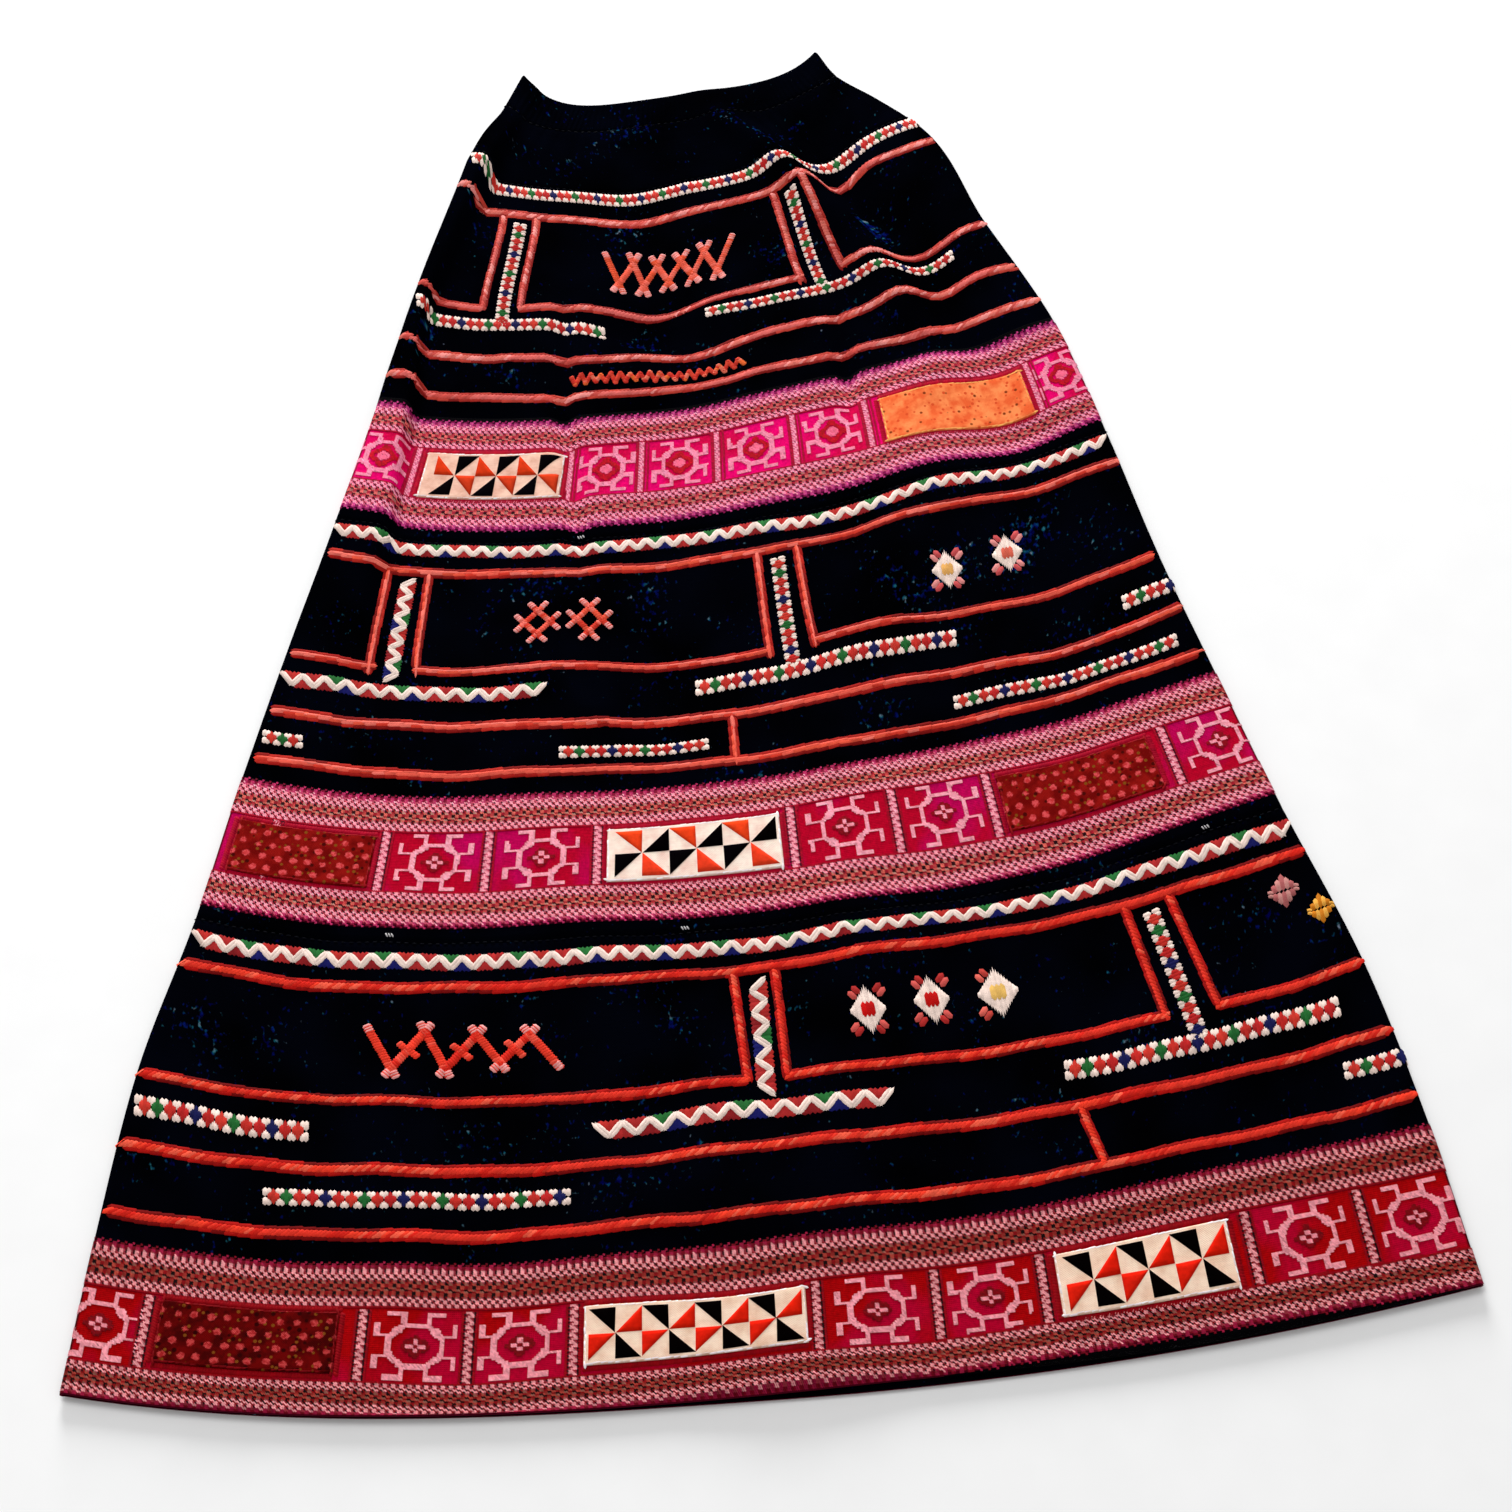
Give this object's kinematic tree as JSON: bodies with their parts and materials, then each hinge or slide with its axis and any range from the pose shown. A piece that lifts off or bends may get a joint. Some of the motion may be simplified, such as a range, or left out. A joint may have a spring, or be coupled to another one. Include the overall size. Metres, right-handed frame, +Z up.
{
  "type": "hmong skirt laid flat",
  "caption": "Long flared tube skirt of dark cloth laid flat, with a gathered waistband, three tiers, embroidered bands and appliqued patches.",
  "frame": {"origin": "middle of the footprint on the surface that the skirt lies on", "axes": "+Y along the skirt from hem to waist, +X to the right of its front as it is seen from above, +Z up out of the front"},
  "size_m": [0.7018, 0.9152, 0.0197],
  "materials": {
    "indigo_cloth": "matte handwoven cotton, near black, with a few lighter blue threads",
    "embroidered_cloth": "the same cotton under dense crimson, pink and white cross stitch",
    "pinwheel_cloth": "matte cream cotton applique",
    "dotted_cloth": "matte dotted cotton applique"
  },
  "bodies": {
    "root": {"waistband": "indigo_cloth", "yoke": "indigo_cloth", "tier_1": "embroidered_cloth", "tier_2": "embroidered_cloth", "tier_3": "embroidered_cloth", "patch_pinwheel_1": "pinwheel_cloth", "patch_pinwheel_2": "pinwheel_cloth", "patch_pinwheel_3": "pinwheel_cloth", "patch_pinwheel_3_right": "pinwheel_cloth", "patch_dotted_1": "dotted_cloth", "patch_dotted_2_left": "dotted_cloth", "patch_dotted_2_right": "dotted_cloth", "patch_dotted_3": "dotted_cloth"}
  },
  "joints": []
}
